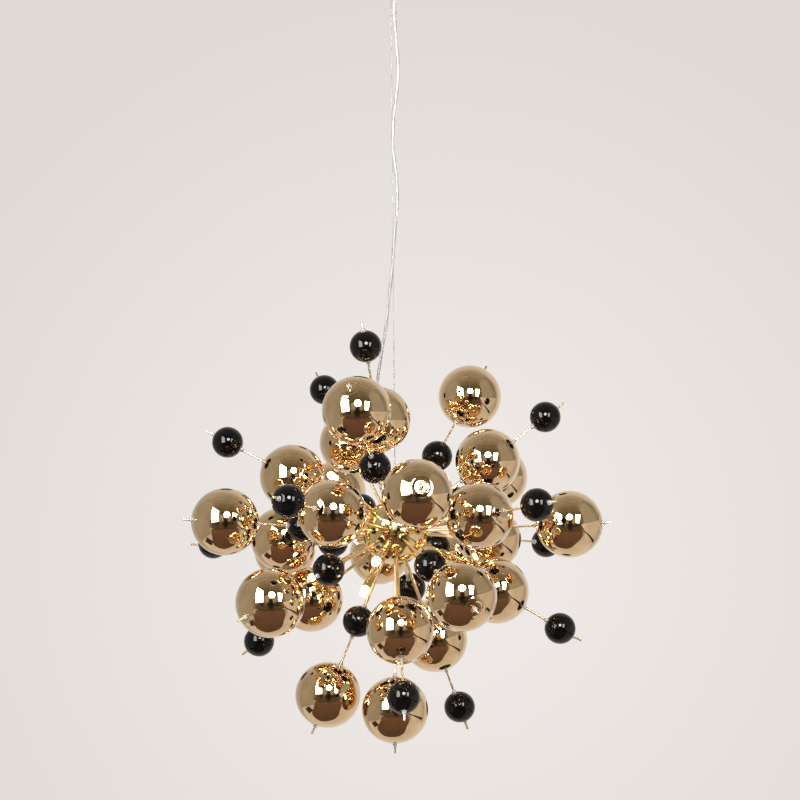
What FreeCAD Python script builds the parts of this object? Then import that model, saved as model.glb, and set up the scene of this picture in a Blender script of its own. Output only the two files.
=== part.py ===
import FreeCAD, Part
import math
import os

# A hanging "sputnik" light, in millimetres.  +Z is up.  The origin is the middle of the
# ceiling plate's upper face, where the light is screwed to the ceiling.  -Y is the front.
# Directions from the hub are (azimuth, elevation) in degrees: azimuth 0 points to the
# front, +90 to the right; elevation is measured up from the horizontal.

Vector = FreeCAD.Vector
UP = Vector(0, 0, 1)
ORIGIN = Vector(0, 0, 0)

# ---------------------------------------------------------------- general sizes
DROP = 1360.0               # ceiling face to the middle of the hub
SLIP = 0.05                 # radial clearance of a part that slides on or in another
CLEAR = 0.1                 # gap between two fixed neighbours
STEP_OFF = 0.3              # gap between parts of two bodies that move past each other

# ---------------------------------------------------------------- hub
HUB_RADIUS = 75.0
HUB_WALL = 3.0
SEAM_RING_WALL = 1.2        # spigot ring behind the seam of the two half shells
SEAM_RING_HEIGHT = 12.0
TIE_TUBE_RADIUS = 5.0       # vertical threaded tube that clamps the half shells
TIE_TUBE_BORE = 3.4
NIPPLE_RADIUS = 7.0         # top fitting that the steel wire hangs the hub from
NIPPLE_HEIGHT = 24.0
NIPPLE_THREAD = 9.0         # depth of the tie tube in the nipple
CAP_NUT_RADIUS = 8.0
CAP_NUT_HEIGHT = 7.0
CONNECTOR_RADIUS = 25.0     # round connector block on the tie tube
CONNECTOR_HEIGHT = 15.0
CONNECTOR_SCREW_RADIUS = 2.0
CONNECTOR_WAYS = 12

# ---------------------------------------------------------------- arms
ROD_RADIUS = 2.5
ROD_EDGE = 0.4              # bevel of the cut tip
ROD_REACH = 500.0           # middle of the hub to a rod's tip
ROD_ROOT = 61.0             # where a rod or lamp tube starts inside the hub
SPACER_RADIUS = 3.6         # brass tube on the rod, from the hub to the first globe
GOLD_RADIUS = 75.0
BLACK_RADIUS = 36.0
GLASS_WALL = 1.5
GLOBE_HOLE = 4.0            # radius of the two holes of a globe
GOLD_DISH_RADIUS = 10.0     # dish that is drawn in round each hole of a gold globe
GOLD_DISH_DEPTH = 1.6       # its lowest place below the full ball's top
GOLD_DISH_ROUND = 2.0       # rounding of its rim
BLACK_DISH_RADIUS = 10.0    # the same on a black globe
BLACK_DISH_DEPTH = 2.5
BLACK_DISH_ROUND = 2.0
GROMMET_FOOT = 5.5          # collar's radius at the globe
GROMMET_END = 3.7           # collar's radius at its outer end
GROMMET_COLLAR = 9.0        # length outside the globe
GROMMET_NECK = 3.5          # length inside the hole and beyond
GOLD_NEAR_DISTANCE = 271.0  # middle of the hub to a gold globe that sits first
BLACK_NEAR_DISTANCE = 222.0 # the same for a black globe that sits first
TIP_BARE = 21.0             # rod that stands out past the last globe
ROD_NUT_RADIUS = 5.0
ROD_NUT_HEIGHT = 6.0

# Directions of the arms: gold globe first and black globe last, or the other way round.
GOLD_FIRST = {
    "upper": ((-97, 28), (101, 36), (-29, 73), (-145, 48)),
    "middle": ((-31, 12), (44, 10), (-104, -4), (124, -6)),
    "lower": ((94, -31), (113, -69), (-113, -37), (3, -49)),
}
BLACK_FIRST = {
    "upper": ((136, 50), (-16, 44)),
    "middle": ((21, -16), (-70, 5), (76, 3), (7, 15), (-45, -19),
               (-137, -9), (154, -13), (-158, 11), (140, 16), (-174, -12)),
    "lower": ((-87, -67), (168, -41), (-3, -80)),
}

# ---------------------------------------------------------------- lamps
LAMPS = ((-56, 38), (-86, -28), (-12, -14), (-23, -34), (120, -24),
         (172, 32), (108, 8), (-128, 20), (-155, -9), (52, -40))
LAMP_TUBE_RADIUS = 6.0
LAMP_TUBE_BORE = 5.0
LAMP_NUT_RADIUS = 9.0
SLEEVE_START = 136.0        # middle of the hub to the sleeve's closed end
SLEEVE_LENGTH = 69.0
SLEEVE_RADIUS = 10.0
SLEEVE_WALL = 0.8
SLEEVE_FLOOR = 2.0
LAMP_TUBE_INSIDE = 4.0      # lamp tube's end inside the sleeve
HOLDER_RADIUS = 8.6
HOLDER_LENGTH = 26.0
HOLDER_GAP = 3.0            # sleeve floor to lampholder, past the tube's end
PIN_RADIUS = 0.6
PIN_SPACING = 9.0
PIN_LENGTH = 10.0
PIN_HOLE_DEPTH = 11.5
PIN_HOLE_RADIUS = 0.9
BULB_RADIUS = 7.5
BULB_LENGTH = 56.0          # glass, without the pins
BULB_PINCH = 12.0           # flattened foot of the glass
BULB_PINCH_THICK = 5.0
BULB_PINCH_WIDE = 13.0
BULB_SEAT = 0.5             # bulb's foot to the lampholder's face
LEAD_RADIUS = 2.0
LEAD_START = 30.0           # lamp lead's end at the connector block

# ---------------------------------------------------------------- ceiling end
PLATE_RADIUS = 56.0
PLATE_THICK = 2.0
PLATE_RIM_HEIGHT = 14.0
PLATE_RIM_WALL = 3.0
PLATE_GROOVE_DEPTH = 1.0
FIXING_SPACING = 70.0       # two ceiling screws, along X
FIXING_RADIUS = 2.75
MAINS_HOLE_RADIUS = 8.0
MAINS_HOLE_Y = 32.0
BOSS_RADIUS = 12.0
BOSS_HEIGHT = 14.0
STUD_RADIUS = 4.0
STUD_HEAD_RADIUS = 7.2
STUD_HEAD_HEIGHT = 6.0
STUD_HEAD_TOP = 1.6         # head's top below the ceiling face
CANOPY_RADIUS = 60.0
CANOPY_DEPTH = 45.0
CANOPY_WALL = 1.2
CANOPY_EDGE = 8.0           # radius of the canopy's lower edge
CANOPY_SCREWS = 3
CANOPY_SCREW_RADIUS = 2.0
CANOPY_SCREW_HEAD = 4.0
CANOPY_SCREW_HEAD_LENGTH = 6.0
GROOVE_LEVEL = 9.0          # middle of the groove below the ceiling face

GRIPPER_RADIUS = 7.0
GRIPPER_TOP = 16.0          # levels below the ceiling face
GRIPPER_THREAD = 8.0
GRIPPER_WEB = 2.0
GRIPPER_LENGTH = 34.0
GRIPPER_BORE = 4.5
GRIPPER_LIP = 3.0
PLUNGER_RADIUS = 3.2
PLUNGER_HEAD = 3.0
PLUNGER_OUT = 8.0           # plunger that stands out below the gripper
PLUNGER_TRAVEL = 2.5
CLAMP_BALL_RADIUS = 1.3
CLAMP_BALLS = 3
SPRING_WALL = 0.8

WIRE_RADIUS = 0.75
CABLE_RADIUS = 3.5
FERRULE_RADIUS = 2.6
FERRULE_LENGTH = 8.0
GRIP_OFFSET = 16.0          # cord grip beside the wire, along X
GRIP_RADIUS = 6.0
GRIP_NECK = 4.8
GRIP_BELOW = 12.0           # cord grip below the canopy
GRIP_ABOVE = 8.0
GRIP_NUT_RADIUS = 7.0
GRIP_NUT_HEIGHT = 4.0
TAIL_TOP = 6.0              # cable above the cord grip's nut
BLOCK_SIZE = (30.0, 16.0, 14.0)
BLOCK_X = -32.0
BLOCK_HOLE = 1.6
BLOCK_SCREW = 1.8
BLOCK_WAYS = 3

GLAND_DIRECTION = (-150, 62)
GLAND_NECK = 4.9
GLAND_NECK_DEPTH = 12.0     # how far its neck reaches into the hub
GLAND_COLLAR = 6.5
GLAND_OUT = 11.0            # gland's collar outside the hub
GLAND_NUT_RADIUS = 8.0
GLAND_NUT_HEIGHT = 4.0

GRIP_STRAIGHT = 42.0        # cable's straight run out of the cord grip
GLAND_STRAIGHT = 40.0       # cable's straight run into the gland
# Points of the cable between these runs: X, Y and height above the middle of the hub.
CABLE_POINTS = (
    (6.5, -6.0, 1220.0), (8.5, -6.5, 1160.0), (13.0, -7.0, 1110.0), (16.5, -8.0, 1062.0),
    (11.0, -8.5, 1005.0), (3.5, -7.5, 943.0), (0.5, -7.0, 897.0), (4.5, -7.0, 850.0),
    (11.5, -8.0, 795.0), (10.0, -8.5, 735.0), (1.5, -7.2, 662.0), (-2.5, -7.0, 600.0),
    (-10.5, -6.0, 538.0), (-17.0, -3.0, 472.0), (-28.5, 1.5, 410.0), (-38.5, 9.0, 350.0),
    (-42.5, 19.0, 286.0), (-40.0, 32.0, 226.0), (-35.0, 46.0, 168.0))

CLIP_LEVELS = (1192.0, 630.0)    # heights of the clips above the middle of the hub
CLIP_HEIGHT = 7.0
CLIP_WALL = 1.2
CLIP_EASE = 0.35            # the clips are loose on the cable and the wire

HUB = Vector(0, 0, -DROP)
CANOPY_FACE = -CANOPY_DEPTH
GRIP_END = CANOPY_FACE - GRIP_BELOW
GLAND_END = HUB_RADIUS + CLEAR + GLAND_OUT


def direction(azimuth, elevation):
    """Unit vector that points from the hub at these two angles in degrees."""
    turn = math.radians(azimuth)
    rise = math.radians(elevation)
    level = math.cos(rise)
    return Vector(math.sin(turn) * level, -math.cos(turn) * level, math.sin(rise))


def aim(shape, angles, distance=0.0):
    """The shape, drawn along +Z, moved to the hub and pointed along a direction."""
    along = direction(*angles)
    moved = shape.copy()
    turn = FreeCAD.Rotation(UP, along)
    moved.Placement = FreeCAD.Placement(HUB + along * distance, turn)
    return moved


def rod(radius, low, high, x=0.0, y=0.0):
    """Upright round bar between two levels."""
    return Part.makeCylinder(radius, high - low, Vector(x, y, low))


def tube(radius, bore, low, high, x=0.0, y=0.0):
    """Upright round tube between two levels."""
    return rod(radius, low, high, x, y).cut(rod(bore, low - 1, high + 1, x, y))


def lathe(points):
    """Solid of revolution about Z of a closed outline of (radius, level) points."""
    corners = [Vector(radius, 0, level) for radius, level in points]
    outline = Part.makePolygon(corners + [corners[0]])
    return Part.Face(outline).revolve(ORIGIN, UP, 360)


def chamfer_bar(radius, low, high, edge):
    """Upright bar with a bevel round both ends."""
    return lathe([(0, low), (radius - edge, low), (radius, low + edge),
                  (radius, high - edge), (radius - edge, high), (0, high)])


def group(solids):
    """One node of several separate solids."""
    return Part.makeCompound(solids)


def save(name, shape):
    shape.exportStep("parts/" + name + ".step")


# ---------------------------------------------------------------- one arm's pieces
def dish_of(radius):
    """Radius, depth and rim rounding of the dish at both ends of a globe."""
    if radius == GOLD_RADIUS:
        return GOLD_DISH_RADIUS, GOLD_DISH_DEPTH, GOLD_DISH_ROUND
    return BLACK_DISH_RADIUS, BLACK_DISH_DEPTH, BLACK_DISH_ROUND


def dish_curve(radius):
    """Radius of the ball that presses the dish into a globe."""
    wide, depth, edge = dish_of(radius)
    rise = depth - (radius - math.sqrt(radius ** 2 - wide ** 2))
    return (wide ** 2 + rise ** 2) / (2 * rise)


def pressed_ball(radius, dish, reach):
    """Ball with both ends pressed in by balls of radius dish, centred at reach."""
    body = Part.makeSphere(radius)
    for side in (-1, 1):
        body = body.cut(Part.makeSphere(dish, Vector(0, 0, side * reach)))
    return body


def globe(radius):
    """Hollow glass ball, drawn in round the hole at each end of its rod."""
    wide, depth, edge_round = dish_of(radius)
    dish = dish_curve(radius)
    reach = radius - depth + dish
    outside = pressed_ball(radius, dish, reach)
    rims = [edge for edge in outside.Edges
            if edge.BoundBox.ZLength < 0.01 and abs(edge.BoundBox.XLength - 2 * wide) < 0.1]
    outside = outside.makeFillet(edge_round, rims)
    inside = pressed_ball(radius - GLASS_WALL, dish + GLASS_WALL, reach)
    return outside.cut(inside).cut(rod(GLOBE_HOLE, -radius - 1, radius + 1))


def grommet_seat(radius):
    """Distance from a globe's middle to its grommet's foot, in the dish."""
    wide, depth, edge_round = dish_of(radius)
    dish = dish_curve(radius)
    climb = dish - math.sqrt(dish ** 2 - GROMMET_FOOT ** 2)
    return radius - depth + climb + CLEAR


def grommet():
    """Clear stopper: a tapered collar outside the globe, from level 0, and a neck in its hole."""
    collar = lathe([(0, 0), (GROMMET_FOOT - 0.5, 0), (GROMMET_FOOT, 0.5),
                    (GROMMET_FOOT, GROMMET_COLLAR / 3), (GROMMET_END, GROMMET_COLLAR - 1),
                    (GROMMET_END - 0.5, GROMMET_COLLAR), (0, GROMMET_COLLAR)])
    neck = rod(GLOBE_HOLE - SLIP, -GROMMET_NECK, 0.5)
    return collar.fuse(neck).cut(rod(ROD_RADIUS + SLIP, -GROMMET_NECK - 1, GROMMET_COLLAR + 1))


def arm_rod():
    """Brass rod, cut square with a small bevel."""
    return chamfer_bar(ROD_RADIUS, ROD_ROOT, ROD_REACH, ROD_EDGE)


def globes_on_arm(gold_first):
    """Radius and distance of the first and the last globe of one arm."""
    if gold_first:
        last = ROD_REACH - TIP_BARE - BLACK_RADIUS
        return ((GOLD_RADIUS, GOLD_NEAR_DISTANCE), (BLACK_RADIUS, last))
    last = ROD_REACH - TIP_BARE - GOLD_RADIUS
    return ((BLACK_RADIUS, BLACK_NEAR_DISTANCE), (GOLD_RADIUS, last))


def spacer(gold_first):
    """Brass tube from the hub to the first globe's grommet."""
    radius, distance = globes_on_arm(gold_first)[0]
    end = distance - grommet_seat(radius) - GROMMET_COLLAR - CLEAR
    start = math.sqrt(HUB_RADIUS ** 2 - ROD_RADIUS ** 2) + CLEAR
    return tube(SPACER_RADIUS, ROD_RADIUS + SLIP, start, end)


def grommet_pair(radius, distance, angles):
    """The two grommets of one globe."""
    seat = grommet_seat(radius)
    outer = aim(grommet(), angles, distance + seat)
    inner = grommet().mirror(ORIGIN, UP)
    return [outer, aim(inner, angles, distance - seat)]


def hub_nut(radius, bore, height, angles):
    """Lock nut inside the hub, domed to the wall or to the seam ring."""
    along = direction(*angles)
    seat = HUB_RADIUS - HUB_WALL - CLEAR
    if abs(along.z) * seat < SEAM_RING_HEIGHT / 2 + radius + 1:
        seat -= SEAM_RING_WALL + CLEAR
    blank = tube(radius, bore + SLIP, seat - height, seat + 2)
    return aim(blank.common(Part.makeSphere(seat)), angles)


def all_arms():
    """Every arm as (tier, gold_first, angles)."""
    arms = []
    for tier in ("upper", "middle", "lower"):
        arms += [(tier, True, angles) for angles in GOLD_FIRST[tier]]
        arms += [(tier, False, angles) for angles in BLACK_FIRST[tier]]
    return arms


def make_arms():
    """The nodes of all arms, grouped by tier."""
    rod_shape = arm_rod()
    gold = globe(GOLD_RADIUS)
    black = globe(BLACK_RADIUS)
    spacers = {True: spacer(True), False: spacer(False)}
    nuts = []
    for tier in ("upper", "middle", "lower"):
        pieces = {"gold_globes": [], "black_globes": [], "rods": [],
                  "spacer_tubes": [], "grommets": []}
        for arm_tier, gold_first, angles in all_arms():
            if arm_tier != tier:
                continue
            pieces["rods"].append(aim(rod_shape, angles))
            pieces["spacer_tubes"].append(aim(spacers[gold_first], angles))
            nuts.append(hub_nut(ROD_NUT_RADIUS, ROD_RADIUS, ROD_NUT_HEIGHT, angles))
            for radius, distance in globes_on_arm(gold_first):
                kind = "gold_globes" if radius == GOLD_RADIUS else "black_globes"
                shape = gold if radius == GOLD_RADIUS else black
                pieces[kind].append(aim(shape, angles, distance))
                pieces["grommets"] += grommet_pair(radius, distance, angles)
        for kind, solids in pieces.items():
            save(tier + "_" + kind, group(solids))
    save("rod_nuts", group(nuts))


# ---------------------------------------------------------------- hub
def hub_bores():
    """Everything that is drilled through the hub's wall."""
    bores = []
    for tier, gold_first, angles in all_arms():
        bores.append(aim(rod(ROD_RADIUS + CLEAR, ROD_ROOT, HUB_RADIUS + 5), angles))
    for angles in LAMPS:
        bores.append(aim(rod(LAMP_TUBE_RADIUS + CLEAR, ROD_ROOT, HUB_RADIUS + 5), angles))
    bores.append(aim(rod(GLAND_NECK + CLEAR, ROD_ROOT, HUB_RADIUS + 5), GLAND_DIRECTION))
    tall = HUB_RADIUS + 5
    bores.append(rod(TIE_TUBE_RADIUS + CLEAR, HUB.z - tall, HUB.z + tall))
    return Part.makeCompound(bores)


def hub_half(side, bores):
    """Half of the spun brass ball, above (+1) or below (-1) the seam."""
    ball = Part.makeSphere(HUB_RADIUS, HUB).cut(Part.makeSphere(HUB_RADIUS - HUB_WALL, HUB))
    wide = 2 * (HUB_RADIUS + HUB_WALL)
    corner = Vector(-wide / 2, -wide / 2, HUB.z if side > 0 else HUB.z - wide)
    return ball.common(Part.makeBox(wide, wide, wide, corner)).cut(bores)


def make_hub():
    bores = hub_bores()
    save("hub_upper_shell", hub_half(1, bores))
    save("hub_lower_shell", hub_half(-1, bores))
    ring_outer = HUB_RADIUS - HUB_WALL - CLEAR
    half = SEAM_RING_HEIGHT / 2
    edge = math.sqrt(ring_outer ** 2 - half ** 2)
    ring = tube(edge, ring_outer - SEAM_RING_WALL - CLEAR, HUB.z - half, HUB.z + half)
    save("hub_seam_ring", ring.cut(bores))

    top = HUB.z + HUB_RADIUS
    bottom = HUB.z - HUB_RADIUS
    tie_top = top + CLEAR + NIPPLE_THREAD
    tie_low = bottom - CAP_NUT_HEIGHT + 2
    save("tie_tube", tube(TIE_TUBE_RADIUS, TIE_TUBE_BORE, tie_low, tie_top))
    save("hub_cap_nut", cap_nut(bottom, tie_low))
    save("hanger_nipple", hanger_nipple(top))
    save("hub_connector_block", connector_block())


def cap_nut(bottom, tie_low):
    """Domed nut under the hub, on the tie tube's lower end."""
    low = bottom - CAP_NUT_HEIGHT
    body = lathe([(0, low), (CAP_NUT_RADIUS - 4, low), (CAP_NUT_RADIUS - 1, low + 2),
                  (CAP_NUT_RADIUS, low + 4), (CAP_NUT_RADIUS, bottom + 2), (0, bottom + 2)])
    body = body.cut(Part.makeSphere(HUB_RADIUS + CLEAR, HUB))
    return body.cut(rod(TIE_TUBE_RADIUS + SLIP, tie_low - CLEAR, bottom + 5))


def hanger_nipple(top):
    """Round fitting that takes the wire's ferrule from below and screws on the tie tube."""
    base = top + CLEAR
    head = base + NIPPLE_HEIGHT
    body = lathe([(0, base), (NIPPLE_RADIUS, base), (NIPPLE_RADIUS, head - 6),
                  (NIPPLE_RADIUS - 3.5, head), (0, head)])
    thread = rod(TIE_TUBE_RADIUS + SLIP, base - 1, base + NIPPLE_THREAD + CLEAR)
    chamber_top = base + NIPPLE_THREAD + CLEAR + FERRULE_LENGTH + 1
    chamber = rod(FERRULE_RADIUS + 2 * SLIP, base, chamber_top)
    return body.cut(thread).cut(chamber).cut(rod(WIRE_RADIUS + SLIP, base, head + 1))


def ferrule_levels():
    """Low and high end of the pressed ferrule, up against the nipple's shoulder."""
    high = HUB.z + HUB_RADIUS + NIPPLE_THREAD + 2 * CLEAR + FERRULE_LENGTH + 1 - SLIP
    return high - FERRULE_LENGTH, high


def connector_block():
    """Round terminal block on the tie tube, where the leads meet the cable."""
    half = CONNECTOR_HEIGHT / 2
    block = tube(CONNECTOR_RADIUS, TIE_TUBE_RADIUS + SLIP, HUB.z - half, HUB.z + half)
    ring = CONNECTOR_RADIUS - 3 * CONNECTOR_SCREW_RADIUS
    for way in range(CONNECTOR_WAYS):
        angle = 2 * math.pi * way / CONNECTOR_WAYS
        x = ring * math.cos(angle)
        y = ring * math.sin(angle)
        block = block.cut(rod(CONNECTOR_SCREW_RADIUS, HUB.z + half - 4, HUB.z + half + 1, x, y))
    return block


# ---------------------------------------------------------------- lamps
def holder_base():
    return SLEEVE_START + SLEEVE_FLOOR + LAMP_TUBE_INSIDE + HOLDER_GAP


def lamp_holder():
    """Ceramic two-pin lampholder."""
    low = holder_base()
    high = low + HOLDER_LENGTH
    body = chamfer_bar(HOLDER_RADIUS, low, high, 1.0)
    for side in (-1, 1):
        x = side * PIN_SPACING / 2
        body = body.cut(rod(PIN_HOLE_RADIUS, high - PIN_HOLE_DEPTH, high + 1, x))
    return body


def lamp_sleeve():
    """Brass cup round the lampholder, open at its outer end."""
    end = SLEEVE_START + SLEEVE_LENGTH
    inner = SLEEVE_RADIUS - SLEEVE_WALL
    bore = LAMP_TUBE_RADIUS + SLIP
    return lathe([(bore, SLEEVE_START), (SLEEVE_RADIUS - 1, SLEEVE_START),
                  (SLEEVE_RADIUS, SLEEVE_START + 1), (SLEEVE_RADIUS, end), (inner, end),
                  (inner, SLEEVE_START + SLEEVE_FLOOR), (bore, SLEEVE_START + SLEEVE_FLOOR)])


def bulb():
    """Two-pin capsule bulb: the glass with its flat foot, and two wire pins."""
    foot = holder_base() + HOLDER_LENGTH + BULB_SEAT
    tip = foot + BULB_LENGTH
    corner = Vector(-BULB_PINCH_WIDE / 2, -BULB_PINCH_THICK / 2, foot)
    pinch = Part.makeBox(BULB_PINCH_WIDE, BULB_PINCH_THICK, BULB_PINCH + 2, corner)
    barrel = rod(BULB_RADIUS, foot + BULB_PINCH, tip - BULB_RADIUS)
    dome = Part.makeSphere(BULB_RADIUS, Vector(0, 0, tip - BULB_RADIUS))
    glass = barrel.fuse(dome).fuse(pinch).removeSplitter()
    pins = []
    for side in (-1, 1):
        x = side * PIN_SPACING / 2
        pins.append(rod(PIN_RADIUS, foot - PIN_LENGTH, foot, x))
    return [glass] + pins


def make_lamps():
    tube_end = SLEEVE_START + SLEEVE_FLOOR + LAMP_TUBE_INSIDE
    lamp_tube = tube(LAMP_TUBE_RADIUS, LAMP_TUBE_BORE, ROD_ROOT, tube_end)
    lead = rod(LEAD_RADIUS, LEAD_START, holder_base() - CLEAR)
    save("lamp_tubes", group([aim(lamp_tube, angles) for angles in LAMPS]))
    save("lamp_sleeves", group([aim(lamp_sleeve(), angles) for angles in LAMPS]))
    save("lamp_holders", group([aim(lamp_holder(), angles) for angles in LAMPS]))
    save("lamp_leads", group([aim(lead, angles) for angles in LAMPS]))
    nuts = [hub_nut(LAMP_NUT_RADIUS, LAMP_TUBE_RADIUS, 6.0, angles) for angles in LAMPS]
    save("lamp_tube_nuts", group(nuts))
    for number, angles in enumerate(LAMPS, 1):
        pieces = [aim(piece, angles) for piece in bulb()]
        save("bulb_" + str(number), group(pieces))


# ---------------------------------------------------------------- ceiling end
def ceiling_plate():
    """Round plate with a grooved rim and a counterbored boss for the swivel stud."""
    plate = rod(PLATE_RADIUS, -PLATE_THICK, 0)
    rim = tube(PLATE_RADIUS, PLATE_RADIUS - PLATE_RIM_WALL, -PLATE_RIM_HEIGHT, -PLATE_THICK)
    boss = rod(BOSS_RADIUS, -BOSS_HEIGHT, -PLATE_THICK)
    body = plate.fuse(rim).fuse(boss).removeSplitter()
    groove_half = CANOPY_SCREW_RADIUS + STEP_OFF
    groove = tube(PLATE_RADIUS + 5, PLATE_RADIUS - PLATE_GROOVE_DEPTH,
                  -GROOVE_LEVEL - groove_half, -GROOVE_LEVEL + groove_half)
    body = body.cut(groove)
    head_low = -STUD_HEAD_TOP - STUD_HEAD_HEIGHT - CLEAR
    body = body.cut(rod(STUD_HEAD_RADIUS + STEP_OFF, head_low, 1))
    body = body.cut(rod(STUD_RADIUS + SLIP, -BOSS_HEIGHT - 1, 1))
    for side in (-1, 1):
        body = body.cut(rod(FIXING_RADIUS, -PLATE_THICK - 1, 1, side * FIXING_SPACING / 2))
    return body.cut(rod(MAINS_HOLE_RADIUS, -PLATE_THICK - 1, 1, 0, MAINS_HOLE_Y))


def canopy():
    """Spun brass cup that hides the ceiling plate."""
    rim = -0.8
    outer = cup_profile(CANOPY_RADIUS, rim, CANOPY_FACE, CANOPY_EDGE)
    inner = cup_profile(CANOPY_RADIUS - CANOPY_WALL, rim + 1, CANOPY_FACE + CANOPY_WALL,
                        CANOPY_EDGE - CANOPY_WALL)
    body = outer.cut(inner)
    body = body.cut(rod(GRIPPER_RADIUS + CLEAR, CANOPY_FACE - 1, CANOPY_FACE + 5))
    body = body.cut(rod(GRIP_NECK + CLEAR, CANOPY_FACE - 1, CANOPY_FACE + 5, GRIP_OFFSET))
    for screw in range(CANOPY_SCREWS):
        hole = Part.makeCylinder(CANOPY_SCREW_RADIUS + SLIP, CANOPY_RADIUS + 5,
                                 Vector(0, 0, -GROOVE_LEVEL), Vector(1, 0, 0))
        hole.rotate(ORIGIN, UP, 360.0 * screw / CANOPY_SCREWS + 90)
        body = body.cut(hole)
    return body


def cup_profile(radius, high, low, edge):
    """Solid bowl shape with a rounded lower edge."""
    points = [Vector(0, 0, high), Vector(radius, 0, high), Vector(radius, 0, low + edge)]
    middle = Vector(radius - edge * (1 - math.sqrt(0.5)), 0, low + edge * (1 - math.sqrt(0.5)))
    corner_end = Vector(radius - edge, 0, low)
    centre_low = Vector(0, 0, low)
    edges = [Part.makeLine(points[0], points[1]), Part.makeLine(points[1], points[2]),
             Part.Arc(points[2], middle, corner_end).toShape(),
             Part.makeLine(corner_end, centre_low), Part.makeLine(centre_low, points[0])]
    return Part.Face(Part.Wire(edges)).revolve(ORIGIN, UP, 360)


def canopy_screws():
    """Knurl-headed side screws whose tips ride in the plate's groove."""
    screws = []
    tip = PLATE_RADIUS - PLATE_GROOVE_DEPTH + STEP_OFF
    for screw in range(CANOPY_SCREWS):
        shank = rod(CANOPY_SCREW_RADIUS, tip, CANOPY_RADIUS + 1)
        head = chamfer_bar(CANOPY_SCREW_HEAD, CANOPY_RADIUS + CLEAR,
                           CANOPY_RADIUS + CLEAR + CANOPY_SCREW_HEAD_LENGTH, 0.8)
        piece = shank.fuse(head)
        piece.rotate(ORIGIN, Vector(0, 1, 0), 90)
        piece.rotate(ORIGIN, UP, 360.0 * screw / CANOPY_SCREWS + 90)
        piece.translate(Vector(0, 0, -GROOVE_LEVEL))
        screws.append(piece)
    return group(screws)


def make_gripper():
    """Wire gripper under the ceiling plate: stud, body, plunger, balls and spring."""
    stud_low = -GRIPPER_TOP - GRIPPER_THREAD
    head_low = -STUD_HEAD_TOP - STUD_HEAD_HEIGHT
    stud = rod(STUD_RADIUS, stud_low, head_low).fuse(
        chamfer_bar(STUD_HEAD_RADIUS, head_low, -STUD_HEAD_TOP, 0.8))
    save("swivel_stud", stud)

    top = -GRIPPER_TOP
    low = top - GRIPPER_LENGTH
    chamber_top = top - GRIPPER_THREAD - GRIPPER_WEB
    body = chamfer_bar(GRIPPER_RADIUS, low, top, 1.0)
    body = body.cut(rod(STUD_RADIUS + SLIP, stud_low - SLIP, top + 1))
    body = body.cut(rod(WIRE_RADIUS + SLIP, chamber_top - 1, stud_low + 1))
    body = body.cut(rod(GRIPPER_BORE, low + GRIPPER_LIP, chamber_top))
    body = body.cut(rod(PLUNGER_RADIUS + SLIP, low - 1, low + GRIPPER_LIP + 1))
    save("gripper_body", body)

    head_under = low + GRIPPER_LIP + CLEAR
    head_top = head_under + PLUNGER_HEAD
    plunger = rod(PLUNGER_RADIUS, low - PLUNGER_OUT, head_under + 1).fuse(
        rod(GRIPPER_BORE - SLIP * 2, head_under, head_top))
    save("gripper_plunger", plunger.cut(rod(WIRE_RADIUS + STEP_OFF, low - PLUNGER_OUT - 1, head_top + 1)))

    ball_level = head_top + CLAMP_BALL_RADIUS + SLIP
    ring = WIRE_RADIUS + CLAMP_BALL_RADIUS + STEP_OFF
    balls = []
    for ball in range(CLAMP_BALLS):
        angle = 2 * math.pi * ball / CLAMP_BALLS
        middle = Vector(ring * math.cos(angle), ring * math.sin(angle), ball_level)
        balls.append(Part.makeSphere(CLAMP_BALL_RADIUS, middle))
    save("clamping_balls", group(balls))

    spring_low = ball_level + CLAMP_BALL_RADIUS + SLIP
    spring_radius = GRIPPER_BORE - STEP_OFF
    save("gripper_spring", tube(spring_radius, spring_radius - SPRING_WALL,
                                spring_low, chamber_top - CLEAR))
    print("gripper spring: fixed end", chamber_top - CLEAR, "free end", spring_low)


def cord_grip():
    """Strain relief that holds the cable in the canopy's face."""
    neck_top = CANOPY_FACE + CANOPY_WALL + GRIP_ABOVE
    body = chamfer_bar(GRIP_RADIUS, GRIP_END, CANOPY_FACE - CLEAR, 1.2)
    body = body.fuse(rod(GRIP_NECK, CANOPY_FACE - 1, neck_top))
    body = body.cut(rod(CABLE_RADIUS + SLIP, GRIP_END - 1, neck_top + 1))
    body.translate(Vector(GRIP_OFFSET, 0, 0))
    return body


def cord_grip_nut():
    low = CANOPY_FACE + CANOPY_WALL + CLEAR
    return tube(GRIP_NUT_RADIUS, GRIP_NECK + SLIP, low, low + GRIP_NUT_HEIGHT, GRIP_OFFSET)


def terminal_block():
    """Three-way screw connector that lies in the canopy."""
    long, wide, tall = BLOCK_SIZE
    floor = CANOPY_FACE + CANOPY_WALL + CLEAR
    block = Part.makeBox(wide, long, tall, Vector(BLOCK_X - wide / 2, -long / 2, floor))
    screws = []
    for way in range(BLOCK_WAYS):
        y = (way - (BLOCK_WAYS - 1) / 2) * long / BLOCK_WAYS
        hole = Part.makeCylinder(BLOCK_HOLE, wide + 2, Vector(BLOCK_X - wide / 2 - 1, y,
                                                              floor + tall / 3), Vector(1, 0, 0))
        block = block.cut(hole)
        for side in (-1, 1):
            x = BLOCK_X + side * wide / 4
            well = floor + tall - 4
            block = block.cut(rod(BLOCK_SCREW + CLEAR, well, floor + tall + 1, x, y))
            screws.append(rod(BLOCK_SCREW, well + CLEAR, well + 3, x, y))
    return block, group(screws)


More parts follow.
